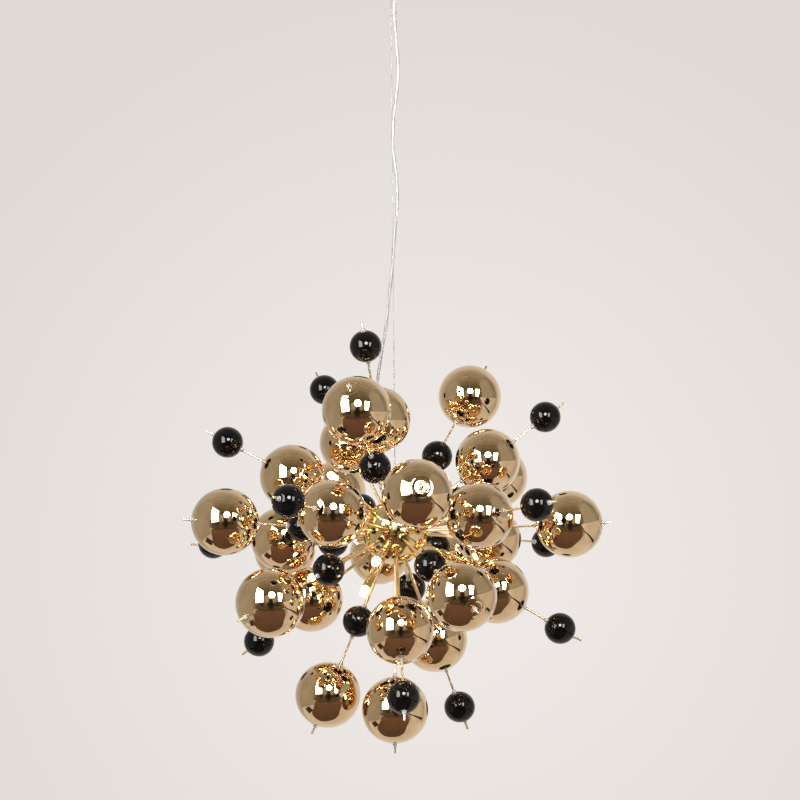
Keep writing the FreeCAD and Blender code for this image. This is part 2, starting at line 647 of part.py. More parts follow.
def make_ceiling_end():
    save("ceiling_plate", ceiling_plate())
    save("canopy", canopy())
    save("canopy_screws", canopy_screws())
    make_gripper()
    save("cord_grip", cord_grip())
    save("cord_grip_nut", cord_grip_nut())
    block, screws = terminal_block()
    save("terminal_block", block)
    save("terminal_screws", screws)
    tail_top = CANOPY_FACE + CANOPY_WALL + GRIP_ABOVE + TAIL_TOP
    save("cable_tail_ceiling", rod(CABLE_RADIUS, GRIP_END, tail_top, GRIP_OFFSET))


# ---------------------------------------------------------------- wire and cable
def cable_route():
    """Points of the free cable from the cord grip to the hub's gland."""
    inward = direction(*GLAND_DIRECTION)
    gland = HUB + inward * GLAND_END
    before_gland = HUB + inward * (GLAND_END + GLAND_STRAIGHT)
    points = [Vector(GRIP_OFFSET, 0, GRIP_END - STEP_OFF),
              Vector(GRIP_OFFSET - 0.5, -1.0, GRIP_END - GRIP_STRAIGHT)]
    points += [Vector(x, y, HUB.z + height) for x, y, height in CABLE_POINTS]
    return points + [before_gland, gland]


def cord(points, radius):
    """Round tube along straight runs that are joined by tangent arcs."""
    edges = []
    start = points[0]
    length = 0.0
    for before, corner, after in zip(points, points[1:], points[2:]):
        way_in = (corner - before).normalize()
        way_out = (after - corner).normalize()
        half_turn = way_in.getAngle(way_out) / 2
        reach = 0.45 * min((corner - before).Length, (after - corner).Length)
        bend = reach / math.tan(half_turn)
        arc_start = corner - way_in * reach
        arc_end = corner + way_out * reach
        inward = (way_out - way_in).normalize()
        middle = corner + inward * (bend / math.cos(half_turn) - bend)
        edges.append(Part.LineSegment(start, arc_start).toShape())
        edges.append(Part.Arc(arc_start, middle, arc_end).toShape())
        length += (arc_start - start).Length + bend * 2 * half_turn
        start = arc_end
        print("cable bend radius", round(bend))
    edges.append(Part.LineSegment(start, points[-1]).toShape())
    length += (points[-1] - start).Length
    section = Part.Wire([Part.Circle(points[0], points[1] - points[0], radius).toShape()])
    solid = Part.Wire(edges).makePipeShell([section], True, False)
    ratio = solid.Volume / (math.pi * radius ** 2 * length)
    print("cable length", round(length, 1), "volume against section x length", round(ratio, 4))
    return solid


def crossing(points, level):
    """Where the route passes a level."""
    for upper, lower in zip(points, points[1:]):
        if upper.z >= level >= lower.z:
            share = (upper.z - level) / (upper.z - lower.z)
            return upper + (lower - upper) * share


def clip(at):
    """Clear clip that holds the cable beside the wire."""
    low = at.z - CLIP_HEIGHT / 2
    high = at.z + CLIP_HEIGHT / 2
    cable_hole = CABLE_RADIUS + CLIP_EASE
    wire_hole = WIRE_RADIUS + CLIP_EASE
    reach = math.hypot(at.x, at.y)
    web = Part.makeBox(reach, 2 * CLIP_WALL, CLIP_HEIGHT, Vector(0, -CLIP_WALL, low))
    web.rotate(ORIGIN, UP, math.degrees(math.atan2(at.y, at.x)))
    body = rod(cable_hole + CLIP_WALL, low, high, at.x, at.y)
    body = body.fuse(rod(wire_hole + CLIP_WALL, low, high)).fuse(web)
    body = body.cut(rod(cable_hole, low - 1, high + 1, at.x, at.y))
    return body.cut(rod(wire_hole, low - 1, high + 1))


def make_suspension():
    points = cable_route()
    save("power_cable", cord(points, CABLE_RADIUS))
    clips = [clip(crossing(points, HUB.z + height)) for height in CLIP_LEVELS]
    save("cable_clips", group(clips))

    wire_top = -GRIPPER_TOP - GRIPPER_THREAD - GRIPPER_WEB / 2
    ferrule_low, ferrule_high = ferrule_levels()
    save("suspension_wire", rod(WIRE_RADIUS, ferrule_low, wire_top))
    save("wire_ferrule", tube(FERRULE_RADIUS, WIRE_RADIUS + SLIP / 2, ferrule_low, ferrule_high))

    neck_start = HUB_RADIUS - GLAND_NECK_DEPTH
    gland = chamfer_bar(GLAND_COLLAR, HUB_RADIUS + CLEAR, GLAND_END, 1.0)
    gland = gland.fuse(rod(GLAND_NECK, neck_start, HUB_RADIUS + 1))
    gland = gland.cut(rod(CABLE_RADIUS + SLIP, neck_start - 1, GLAND_END + 1))
    save("cable_gland", aim(gland, GLAND_DIRECTION))
    save("gland_nut", hub_nut(GLAND_NUT_RADIUS, GLAND_NECK, GLAND_NUT_HEIGHT, GLAND_DIRECTION))
    tail = rod(CABLE_RADIUS, LEAD_START, GLAND_END)
    save("cable_tail_hub", aim(tail, GLAND_DIRECTION))


os.makedirs("parts", exist_ok=True)
make_ceiling_end()
make_suspension()
make_hub()
make_lamps()
make_arms()
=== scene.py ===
# %% [markdown]
# A hanging sputnik light: a polished brass ball with 27 straight rods and 10 small lamps, on a
# steel wire and a clear cable. Each rod carries one mirrored gold globe and one glossy black
# globe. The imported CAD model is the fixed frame, in metres, with +Z up and the front at -Y. Here
# its pieces get the roundness, the small shapes and the finishes of the real ones.

# %% Load the frame
import bpy
import math
from mathutils import Matrix, Vector


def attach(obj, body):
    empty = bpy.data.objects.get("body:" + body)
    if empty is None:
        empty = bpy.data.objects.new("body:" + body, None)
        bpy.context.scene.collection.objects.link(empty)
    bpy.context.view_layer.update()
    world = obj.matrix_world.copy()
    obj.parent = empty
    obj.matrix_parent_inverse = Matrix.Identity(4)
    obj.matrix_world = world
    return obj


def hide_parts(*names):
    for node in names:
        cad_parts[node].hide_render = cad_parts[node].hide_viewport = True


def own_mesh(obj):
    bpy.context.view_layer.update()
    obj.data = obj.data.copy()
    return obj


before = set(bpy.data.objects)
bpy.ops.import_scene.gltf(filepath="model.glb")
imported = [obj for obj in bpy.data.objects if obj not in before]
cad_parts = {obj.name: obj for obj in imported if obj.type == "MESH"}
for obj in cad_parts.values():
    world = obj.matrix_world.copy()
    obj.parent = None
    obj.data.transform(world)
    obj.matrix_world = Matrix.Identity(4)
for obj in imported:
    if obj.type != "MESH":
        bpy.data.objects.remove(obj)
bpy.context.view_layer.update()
HUB = Vector((0.0, 0.0, -1.360))

# %% [markdown]
# The camera comes first. The photograph was taken level, from 4.3 m in front of the light and
# 0.3 m above its hub, with a long lens. The hub hangs below the middle of the picture. The
# camera leaned by half a degree, which is why the wire leans a little to the left.

# %% Camera
camera_data = bpy.data.cameras.new("photo_camera")
camera_data.sensor_width = 36.0
camera_data.lens = 84.2
camera_data.clip_end = 60.0
camera = bpy.data.objects.new("photo_camera", camera_data)
camera.location = HUB + Vector((0.0131, -4.300, 0.3029))
camera.rotation_euler = (math.radians(90.0), math.radians(0.47), 0.0)
bpy.context.scene.collection.objects.link(camera)
bpy.context.scene.camera = camera
print("camera at", tuple(round(x, 3) for x in camera.location))

# %% [markdown]
# The clear mains cable leaves the grip in the canopy, hangs down beside the wire in loose bends
# and enters the hub from behind. A cord is a NURBS curve with a round bevel: its control points
# are the route, and the curve smooths the corners as the stiff plastic sheath does.

# %% Cords
def hanging_curve(name, points, thickness):
    """A round cord whose line follows the route's points smoothly."""
    line = bpy.data.curves.new(name, "CURVE")
    line.dimensions = "3D"
    line.bevel_depth = 1.0
    line.bevel_resolution = 5
    line.resolution_u = 12
    line.use_fill_caps = True
    spline = line.splines.new("NURBS")
    spline.points.add(len(points) - 1)
    for point, place in zip(spline.points, points):
        point.co = (place[0], place[1], place[2], 1.0)
        point.radius = thickness / 2
    spline.order_u = 3
    spline.use_endpoint_u = True
    cord = bpy.data.objects.new(name, line)
    bpy.context.scene.collection.objects.link(cord)
    return cord


CABLE_ROUTE = [
    (0.0160, 0.0000, -0.0573), (0.0155, -0.0010, -0.0990), (0.0065, -0.0060, -0.1400),
    (0.0085, -0.0065, -0.2000), (0.0130, -0.0070, -0.2500), (0.0165, -0.0080, -0.2980),
    (0.0110, -0.0085, -0.3550), (0.0035, -0.0075, -0.4170), (0.0005, -0.0070, -0.4630),
    (0.0045, -0.0070, -0.5100), (0.0115, -0.0080, -0.5650), (0.0100, -0.0085, -0.6250),
    (0.0015, -0.0072, -0.6980), (-0.0025, -0.0070, -0.7600), (-0.0105, -0.0060, -0.8220),
    (-0.0170, -0.0030, -0.8880), (-0.0285, 0.0015, -0.9500), (-0.0385, 0.0090, -1.0100),
    (-0.0425, 0.0190, -1.0740), (-0.0400, 0.0320, -1.1340), (-0.0350, 0.0460, -1.1920),
    (-0.0296, 0.0513, -1.2487), (-0.0202, 0.0350, -1.2840)]
WIRE_TOP = -0.0250
WIRE_END = -1.27485
clear_cable = hanging_curve("clear_cable", CABLE_ROUTE, 0.0070)
steel_wire = hanging_curve("steel_wire", [(0, 0, WIRE_TOP), (0, 0, -0.4), (0, 0, -0.9),
                                          (0, 0, WIRE_END)], 0.0015)
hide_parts("power_cable")
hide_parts("suspension_wire")
for cord in (clear_cable, steel_wire):
    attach(cord, "pendant")
print("cable route:", len(CABLE_ROUTE), "points; wire", round(WIRE_TOP - WIRE_END, 3), "m")

# %% [markdown]
# Everything points away from the hub, so one small function turns an azimuth and an elevation
# into a direction. Azimuth 0 points to the front and +90 to the right. The arms and lamps stand
# where the CAD puts them, and each arm has a gold globe first and a black one last, or the
# other way round. Three tiers of arms ride as three groups of pieces.

# %% Where the arms and lamps point
GOLD_FIRST = {
    "upper": ((-97, 28), (101, 36), (-29, 73), (-145, 48)),
    "middle": ((-31, 12), (44, 10), (-104, -4), (124, -6)),
    "lower": ((94, -31), (113, -69), (-113, -37), (3, -49))}
BLACK_FIRST = {
    "upper": ((136, 50), (-16, 44)),
    "middle": ((21, -16), (-70, 5), (76, 3), (7, 15), (-45, -19),
               (-137, -9), (154, -13), (-158, 11), (140, 16), (-174, -12)),
    "lower": ((-87, -67), (168, -41), (-3, -80))}
LAMPS = ((-56, 38), (-86, -28), (-12, -14), (-23, -34), (120, -24),
         (172, 32), (108, 8), (-128, 20), (-155, -9), (52, -40))
TIERS = ("upper", "middle", "lower")


def pointing(angles, distance=0.0):
    """Matrix that takes a piece made along +Z to the hub and points it along two angles."""
    turn, rise = (math.radians(angle) for angle in angles)
    along = Vector((math.sin(turn) * math.cos(rise), -math.cos(turn) * math.cos(rise),
                    math.sin(rise)))
    place = Matrix.Translation(HUB + along * distance)
    return place @ Vector((0, 0, 1)).rotation_difference(along).to_matrix().to_4x4()


arm_count = sum(len(group) for table in (GOLD_FIRST, BLACK_FIRST) for group in table.values())
print(arm_count, "arms and", len(LAMPS), "lamps")

# %% [markdown]
# Modelling needs a few small habits. An operator works on all that is selected, so everything is
# deselected first, and points are then picked by where they are. A round piece is made as on a
# potter's wheel: a ring of points is extruded upward, and resized to each next radius.

# %% Helpers for modelling
def clear_selection():
    """Leaves edit mode and deselects everything."""
    if bpy.context.object and bpy.context.object.mode != "OBJECT":
        bpy.ops.object.mode_set(mode="OBJECT")
    bpy.ops.object.select_all(action="DESELECT")


def work_on(piece):
    """Makes one piece the only selected and active one."""
    clear_selection()
    piece.select_set(True)
    bpy.context.view_layer.objects.active = piece


def pick(piece, wanted):
    """Enters edit mode with only the points selected that the test wants."""
    work_on(piece)
    bpy.context.tool_settings.mesh_select_mode = (True, False, False)
    bpy.ops.object.mode_set(mode="EDIT")
    bpy.ops.mesh.select_all(action="DESELECT")
    bpy.ops.object.mode_set(mode="OBJECT")
    for point in piece.data.vertices:
        point.select = wanted(point.co)
    bpy.ops.object.mode_set(mode="EDIT")


def finish_shape(piece, angle=35):
    """Closes doubled points, turns all faces outward and shades round forms smoothly."""
    work_on(piece)
    bpy.ops.object.mode_set(mode="EDIT")
    bpy.ops.mesh.select_all(action="SELECT")
    bpy.ops.mesh.remove_doubles(threshold=0.000004)
    bpy.ops.mesh.normals_make_consistent(inside=False)
    bpy.ops.object.mode_set(mode="OBJECT")
    bpy.ops.object.shade_smooth_by_angle(angle=math.radians(angle))
    return piece


def turned(name, outline, sides=32, closed=False):
    """A turned solid from its outline of (radius, level) in millimetres, from the bottom up."""
    clear_selection()
    bpy.context.tool_settings.mesh_select_mode = (True, False, False)
    radius, level = outline[0]
    bpy.ops.mesh.primitive_circle_add(vertices=sides, radius=radius / 1000)
    piece = bpy.context.object
    piece.name = name
    bpy.ops.object.mode_set(mode="EDIT")
    bpy.ops.mesh.select_all(action="SELECT")
    bpy.ops.transform.translate(value=(0, 0, level / 1000))
    for next_radius, next_level in outline[1:] + (outline[:1] if closed else []):
        bpy.ops.mesh.extrude_region_move(
            TRANSFORM_OT_translate={"value": (0, 0, (next_level - level) / 1000)})
        if abs(next_radius - radius) > 1e-9:
            grow = next_radius / radius
            bpy.ops.transform.resize(value=(grow, grow, 1),
                                     center_override=(0, 0, next_level / 1000))
        radius, level = next_radius, next_level
    bpy.ops.mesh.select_all(action="SELECT")
    if closed:
        bpy.ops.mesh.remove_doubles(threshold=0.000004)
    else:
        bpy.ops.mesh.fill_holes(sides=0)
    bpy.ops.object.mode_set(mode="OBJECT")
    return finish_shape(piece)


def add_modifier(piece, kind, **settings):
    """Adds one modifier with its settings and applies it."""
    work_on(piece)
    bpy.ops.object.modifier_add(type=kind)
    modifier = piece.modifiers[-1]
    for setting, value in settings.items():
        setattr(modifier, setting, value)
    bpy.ops.object.modifier_apply(modifier=modifier.name)


def copies_of(model, places):
    """Copies of a model, each with its own mesh, moved to their places for good."""
    made = []
    for place in places:
        copy = model.copy()
        copy.data = model.data.copy()
        bpy.context.scene.collection.objects.link(copy)
        copy.matrix_world = place
        made.append(copy)
    clear_selection()
    for copy in made:
        copy.select_set(True)
    bpy.context.view_layer.objects.active = made[0]
    bpy.ops.object.transform_apply(location=True, rotation=True, scale=True)
    return made


def joined(name, pieces):
    """Joins pieces to one object."""
    clear_selection()
    for piece in pieces:
        piece.select_set(True)
    bpy.context.view_layer.objects.active = pieces[0]
    if len(pieces) > 1:
        bpy.ops.object.join()
    pieces[0].name = name
    return pieces[0]


def stands_for(piece, finish, slot, body, *nodes):
    """Gives a piece its finish, and lets it ride and stand for its CAD nodes."""
    piece.data.materials.clear()
    piece.data.materials.append(finish)
    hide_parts(*nodes)
    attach(piece, body)
    print(piece.name, len(piece.data.polygons), "faces, for", ", ".join(nodes))


print("helpers ready")

# %% [markdown]
# Finishes are node materials. They all start from the Principled shader, and small noise
# patterns on Object coordinates change colour and roughness a little, because no real surface is
# even: there are finger smudges, dust, and thin and thick places in a coating.

# %% Helpers for finishes
def new_finish(name, **sockets):
    """A Principled material with plain numbers on its own sockets."""
    finish = bpy.data.materials.new(name)
    finish.use_nodes = True
    shader = finish.node_tree.nodes["Principled BSDF"]
    for socket, value in sockets.items():
        shader.inputs[socket.replace("_", " ")].default_value = value
    return finish


def node_in(finish, kind, **settings):
    """A new node with its settings."""
    node = finish.node_tree.nodes.new(kind)
    for setting, value in settings.items():
        setattr(node, setting, value)
    return node


def object_noise(finish, scale, detail=3.0, stretch=(1, 1, 1)):
    """Noise that sits still on the object. Scale is in patches per metre."""
    links = finish.node_tree.links
    place = node_in(finish, "ShaderNodeTexCoord")
    mapping = node_in(finish, "ShaderNodeMapping")
    mapping.inputs["Scale"].default_value = stretch
    noise = node_in(finish, "ShaderNodeTexNoise")
    noise.inputs["Scale"].default_value = scale
    noise.inputs["Detail"].default_value = detail
    links.new(place.outputs["Object"], mapping.inputs["Vector"])
    links.new(mapping.outputs["Vector"], noise.inputs["Vector"])
    return noise.outputs["Fac"]


def ramp(finish, factor, stops):
    """Colours along a factor, as (position, colour) stops."""
    node = node_in(finish, "ShaderNodeValToRGB")
    while len(node.color_ramp.elements) < len(stops):
        node.color_ramp.elements.new(0.5)
    for element, (position, colour) in zip(node.color_ramp.elements, stops):
        element.position = position
        element.color = (*colour, 1.0)
    finish.node_tree.links.new(factor, node.inputs["Fac"])
    return node.outputs["Color"]


def between(finish, factor, low, high, start=0.3, end=0.7):
    """A number from low to high as the factor goes from start to end."""
    node = node_in(finish, "ShaderNodeMapRange")
    for socket, value in (("From Min", start), ("From Max", end), ("To Min", low),
                          ("To Max", high)):
        node.inputs[socket].default_value = value
    finish.node_tree.links.new(factor, node.inputs["Value"])
    return node.outputs["Result"]


def feed(finish, socket, output):
    """Links an output to one of the Principled shader's sockets."""
    shader = finish.node_tree.nodes["Principled BSDF"]
    finish.node_tree.links.new(output, shader.inputs[socket])


def relief(finish, height, strength, distance):
    """Small bumps from a height."""
    bump = node_in(finish, "ShaderNodeBump")
    bump.inputs["Strength"].default_value = strength
    bump.inputs["Distance"].default_value = distance
    finish.node_tree.links.new(height, bump.inputs["Height"])
    feed(finish, "Normal", bump.outputs["Normal"])


print("finish helpers ready")

# %% [markdown]
# The large globes are mirrored glass in a pale champagne gold. The thin metal coating gives the
# reflection its colour, and the clear glass over it adds a white highlight. The coating is a
# little uneven, and the glass has faint waves and smudges.

# %% Gold mirrored glass
gold_glass = new_finish("gold_mirrored_glass", Metallic=1.0, Coat_Weight=0.6,
                        Coat_Roughness=0.015, Coat_IOR=1.5)
coating = object_noise(gold_glass, 9.0)
feed(gold_glass, "Base Color", ramp(gold_glass, coating, (
    (0.30, (0.725, 0.510, 0.275)), (0.70, (0.790, 0.565, 0.320)))))
smudges = object_noise(gold_glass, 45.0, 5.0)
feed(gold_glass, "Roughness", between(gold_glass, smudges, 0.012, 0.05, 0.45, 0.75))
relief(gold_glass, object_noise(gold_glass, 14.0, 1.0), 0.004, 0.004)
print("gold mirrored glass")

# %% [markdown]
# The small globes are black glass with a wet gloss. Black has hardly any colour of its own: what
# is seen is the lights and the warm lamps in its surface, and the pale room at its edge.

# %% Black glass
black_glass = new_finish("glossy_black_glass", IOR=1.5, Specular_IOR_Level=0.28)
depth = object_noise(black_glass, 12.0)
feed(black_glass, "Base Color", ramp(black_glass, depth, (
    (0.30, (0.0020, 0.0020, 0.0025)), (0.70, (0.0050, 0.0048, 0.0055)))))
haze = object_noise(black_glass, 60.0, 5.0)
feed(black_glass, "Roughness", between(black_glass, haze, 0.012, 0.055, 0.45, 0.75))
print("glossy black glass")

# %% [markdown]
# Three brasses: the polished ball and sleeves, the satin rods, and the spun canopy with fine lines
# round it. All rods point at the hub, so a one-dimensional noise of the distance from the hub
# makes bands across each rod that are a little duller or brighter, as a drawn rod has them.

# %% Brass
def hub_distance(finish):
    """Distance from the middle of the hub, in metres."""
    place = node_in(finish, "ShaderNodeTexCoord")
    reach = node_in(finish, "ShaderNodeVectorMath", operation="DISTANCE")
    reach.inputs[1].default_value = HUB
    finish.node_tree.links.new(place.outputs["Object"], reach.inputs[0])
    return reach.outputs["Value"]


polished_brass = new_finish("polished_brass", Metallic=1.0)
tarnish = object_noise(polished_brass, 30.0, 4.0)
feed(polished_brass, "Base Color", ramp(polished_brass, tarnish, (
    (0.25, (0.79, 0.585, 0.28)), (0.75, (0.89, 0.705, 0.38)))))
polish = object_noise(polished_brass, 140.0, 5.0)
feed(polished_brass, "Roughness", between(polished_brass, polish, 0.06, 0.20))

rod_brass = new_finish("drawn_brass_rod", Metallic=1.0)
rod_tone = object_noise(rod_brass, 22.0, 3.0)
feed(rod_brass, "Base Color", ramp(rod_brass, rod_tone, (
    (0.25, (0.84, 0.66, 0.38)), (0.75, (0.92, 0.76, 0.48)))))
drawn = node_in(rod_brass, "ShaderNodeTexNoise", noise_dimensions="1D")
drawn.inputs["Scale"].default_value = 90.0
drawn.inputs["Detail"].default_value = 4.0
rod_brass.node_tree.links.new(hub_distance(rod_brass), drawn.inputs["W"])
feed(rod_brass, "Roughness", between(rod_brass, drawn.outputs["Fac"], 0.30, 0.38))

spun_brass = new_finish("spun_brass", Metallic=1.0)
spin_tone = object_noise(spun_brass, 18.0, 3.0)
feed(spun_brass, "Base Color", ramp(spun_brass, spin_tone, (
    (0.25, (0.76, 0.54, 0.24)), (0.75, (0.87, 0.66, 0.34)))))
spin_lines = object_noise(spun_brass, 6.0, 4.0, (1, 1, 160))
feed(spun_brass, "Roughness", between(spun_brass, spin_lines, 0.12, 0.24))
print("three brasses")

# %% [markdown]
# Clear plastic holds the globes on their rods. It is not quite clear: the soft stoppers look
# whitish, because their surface is finely matte and light scatters in them. The cable's sheath
# is clear too, and the tinned cores inside it are twisted, so bright and dark bands wind round
# it. They follow the curve's own UV map, whose U runs along it and V round it.

# %% Clear plastic, cable and wire
clear_plastic = new_finish("clear_stopper_plastic", IOR=1.47, Transmission_Weight=0.55)
milk = object_noise(clear_plastic, 220.0, 3.0)
feed(clear_plastic, "Base Color", ramp(clear_plastic, milk, (
    (0.3, (0.86, 0.85, 0.82)), (0.7, (0.95, 0.945, 0.93)))))
feed(clear_plastic, "Roughness", between(clear_plastic, milk, 0.18, 0.34))


def wound_bands(finish, along, round_about):
    """Bands that wind round a cord, from its UV map: turns along it and starts round it."""
    place = node_in(finish, "ShaderNodeTexCoord")
    count = node_in(finish, "ShaderNodeVectorMath", operation="DOT_PRODUCT")
    count.inputs[1].default_value = (along, round_about, 0)
    finish.node_tree.links.new(place.outputs["UV"], count.inputs[0])
    wave = node_in(finish, "ShaderNodeMath", operation="PINGPONG")
    wave.inputs[1].default_value = 0.5
    finish.node_tree.links.new(count.outputs["Value"], wave.inputs[0])
    return wave.outputs["Value"]


cable_sheath = new_finish("clear_cable_sheath", IOR=1.5, Coat_Weight=0.3, Coat_Roughness=0.1,
                          Roughness=0.22, Transmission_Weight=0.55)
cores = wound_bands(cable_sheath, 14.0, 3.0)
feed(cable_sheath, "Base Color", ramp(cable_sheath, cores, (
    (0.05, (0.86, 0.85, 0.84)), (0.28, (0.70, 0.69, 0.68)), (0.42, (0.46, 0.455, 0.45)))))

wire_steel = new_finish("stranded_steel_wire", Metallic=1.0)
strands = wound_bands(wire_steel, 180.0, 6.0)
feed(wire_steel, "Base Color", ramp(wire_steel, strands, (
    (0.05, (0.36, 0.36, 0.36)), (0.45, (0.16, 0.16, 0.16)))))
feed(wire_steel, "Roughness", between(wire_steel, strands, 0.35, 0.55, 0.0, 0.5))
print("clear plastic, cable and wire")

# %% [markdown]
# The lamps are lit. The frosted capsule glows in a warm white that differs a little from place to
# place, and it tints everything near it orange. Under it sits a white ceramic holder. The
# remaining finishes are the plain metals and plastics of the fittings.

# %% Lamp glass and small fittings
lit_glass = new_finish("lit_capsule_glass", Roughness=0.15, Emission_Strength=60.0)
glow = object_noise(lit_glass, 60.0, 2.0)
feed(lit_glass, "Base Color", ramp(lit_glass, glow, (
    (0.3, (0.90, 0.84, 0.74)), (0.7, (0.96, 0.91, 0.82)))))
feed(lit_glass, "Emission Color", ramp(lit_glass, glow, (
    (0.3, (1.0, 0.56, 0.22)), (0.7, (1.0, 0.64, 0.30)))))


def fitting_finish(name, dark, light, rough, grain, **sockets):
    """A simple finish whose colour and roughness vary a little."""
    finish = new_finish(name, **sockets)
    pattern = object_noise(finish, grain, 4.0)
    feed(finish, "Base Color", ramp(finish, pattern, ((0.3, dark), (0.7, light))))
    feed(finish, "Roughness", between(finish, pattern, *rough))
    return finish


ceramic = fitting_finish("glazed_ceramic", (0.84, 0.83, 0.79), (0.91, 0.90, 0.87),
                         (0.12, 0.25), 90.0)
galvanised = fitting_finish("galvanised_steel", (0.42, 0.43, 0.44), (0.66, 0.67, 0.68),
                            (0.28, 0.45), 160.0, Metallic=1.0)
nickel = fitting_finish("nickel_plate", (0.66, 0.64, 0.61), (0.76, 0.74, 0.71),
                        (0.08, 0.20), 90.0, Metallic=1.0)
spring_steel = fitting_finish("spring_steel", (0.45, 0.45, 0.46), (0.62, 0.62, 0.63),
                              (0.2, 0.35), 300.0, Metallic=1.0)
white_plastic = fitting_finish("white_nylon", (0.82, 0.81, 0.78), (0.90, 0.89, 0.87),
                               (0.35, 0.50), 120.0)
silicone = fitting_finish("silicone_lead", (0.78, 0.76, 0.70), (0.86, 0.84, 0.79),
                          (0.40, 0.55), 150.0)
print("lamp glass and fittings")

# %% [markdown]
# A blown globe starts as a sphere. Its two ends are drawn in round the rod's hole in a small
# dish, and two fine raised rings run round the dish, which catch the lamps as thin bright
# circles. The rings of points at the hole are moved down, the dish's rim is rounded with a
# bevel, and each raised ring is a narrow two-step bevel with its middle lifted. The end is
# opened to the hole's size, and Solidify gives the glass its wall.

# %% Gold and black globes
GOLD_RADIUS, BLACK_RADIUS = 0.075, 0.036
GLASS_WALL = 0.0015
GLOBE_HOLE = 0.0040
BEAD_WIDTH, BEAD_HEIGHT = 0.0013, 0.00045


def finish_shade(piece):
    """Shades a piece smoothly again after Solidify has given it new faces."""
    work_on(piece)
    bpy.ops.object.shade_smooth_by_angle(angle=math.radians(50))
    return piece


def pick_ring(globe, end, wide, level, slack=1e-5):
    """Selects the ring of points at this radius and height on one end of a globe."""
    pick(globe, lambda place: abs(place.xy.length - wide) < slack * 10
         and abs(place.z * end - level) < slack)


def blown_globe(name, radius, sides, rings, drops, edge_round, edge_steps, beads=()):
    """A globe with a dish at both ends. Drops say how far each ring of points lies under the
    plain ball, from the hole out to the dish's rim, and beads number the raised rings."""
    clear_selection()
    bpy.ops.mesh.primitive_uv_sphere_add(segments=sides, ring_count=rings, radius=radius)
    globe = bpy.context.object
    globe.name = name
    step = math.pi / rings
    for end in (1, -1):
        pick(globe, lambda place: place.xy.length < 1e-5 and place.z * end > 0)
        bpy.ops.mesh.delete(type="VERT")
        for number in beads:
            wide, level = radius * math.sin(step * number), radius * math.cos(step * number)
            pick_ring(globe, end, wide, level)
            bpy.ops.mesh.bevel(offset=BEAD_WIDTH, segments=2, affect="EDGES")
            pick_ring(globe, end, wide, level, 4e-5)
            bpy.ops.transform.translate(value=(0, 0, end * BEAD_HEIGHT))
        for number, drop in enumerate(drops, 1):
            wide, level = radius * math.sin(step * number), radius * math.cos(step * number)
            pick_ring(globe, end, wide, level)
            bpy.ops.transform.translate(value=(0, 0, -end * drop))
            if number == 1:
                grow = GLOBE_HOLE / wide
                bpy.ops.transform.resize(value=(grow, grow, 1), center_override=(0, 0, 0))
        pick_ring(globe, end, wide, level - drops[-1])
        bpy.ops.mesh.bevel(offset=edge_round, segments=edge_steps, affect="EDGES")
    finish_shape(globe, 60)
    add_modifier(globe, "SOLIDIFY", thickness=GLASS_WALL, offset=-1.0)
    return finish_shade(globe)


gold_model = blown_globe("gold_globe", GOLD_RADIUS, sides=60, rings=48, drops=(0.0015, 0.0),
                         edge_round=0.0012, edge_steps=2, beads=(3, 5))
black_model = blown_globe("black_globe", BLACK_RADIUS, sides=48, rings=34,
                          drops=(0.0022, 0.0010, 0.0), edge_round=0.0007, edge_steps=3)
print("gold globe", len(gold_model.data.polygons), "faces, black globe",
      len(black_model.data.polygons), "faces")

# %% [markdown]
# The other parts of an arm are turned shapes: the brass rod with its cut end, the thicker tube
# between the hub and the first globe, and the tapered stoppers, whose wide foot sits in a
# globe's dish and whose narrow end grips the rod. Their outlines are in millimetres, from the
# middle of the hub or, for a stopper, from its foot.

# %% Rod, tube and stopper
GAP = 0.1
FOOT_RADIUS, STOPPER_HEIGHT = 5.5, 9.0
STOPPER = [(2.6, 0.0), (4.9, 0.0), (5.35, 0.15), (FOOT_RADIUS, 0.55), (FOOT_RADIUS, 2.4),
           (5.3, 3.4), (4.2, 6.6), (3.75, 8.0), (3.6, 8.7), (3.2, STOPPER_HEIGHT),
           (2.6, STOPPER_HEIGHT)]
ROD = [(2.1, 61.0), (2.5, 61.4), (2.5, 130.0), (2.5, 210.0), (2.5, 290.0), (2.5, 370.0),
       (2.5, 450.0), (2.5, 499.6), (2.35, 499.9), (2.1, 500.0)]
HUB_FACE = 75.0
stopper_model = turned("stopper", STOPPER, 28, closed=True)
rod_model = turned("rod", ROD, 24)


def spacer_model(end):
    """Thick tube from the hub's surface to the first stopper, with eased ends."""
    start = HUB_FACE + GAP
    return turned("spacer", [(2.56, start), (3.3, start), (3.6, start + 0.3), (3.6, end - 0.4),
                             (3.3, end), (2.56, end)], 24, closed=True)


def dish_seat(radius, dish_wide, dish_depth):
    """Distance from a globe's middle to its stopper's foot, in millimetres."""
    rise = dish_depth - (radius - math.sqrt(radius ** 2 - dish_wide ** 2))
    dish = (dish_wide ** 2 + rise ** 2) / (2 * rise)
    return radius - dish_depth + dish - math.sqrt(dish ** 2 - FOOT_RADIUS ** 2) + GAP


SEATS = {"gold": dish_seat(GOLD_RADIUS * 1000, 10.0, 1.6),
         "black": dish_seat(BLACK_RADIUS * 1000, 10.0, 2.5)}
STOPS = {True: (("gold", 271.0), ("black", 443.0)), False: (("black", 222.0), ("gold", 404.0))}
spacers = {}
for gold_first, ((first, distance), last) in STOPS.items():
    spacers[gold_first] = spacer_model(distance - SEATS[first] - STOPPER_HEIGHT - GAP)
print("stopper seats (mm):", {kind: round(seat, 2) for kind, seat in SEATS.items()})

# %% [markdown]
# The models are now copied along every arm. A stopper sits on both sides of each globe, and the
# inner one is turned round with a half turn, which keeps its faces pointing outward.

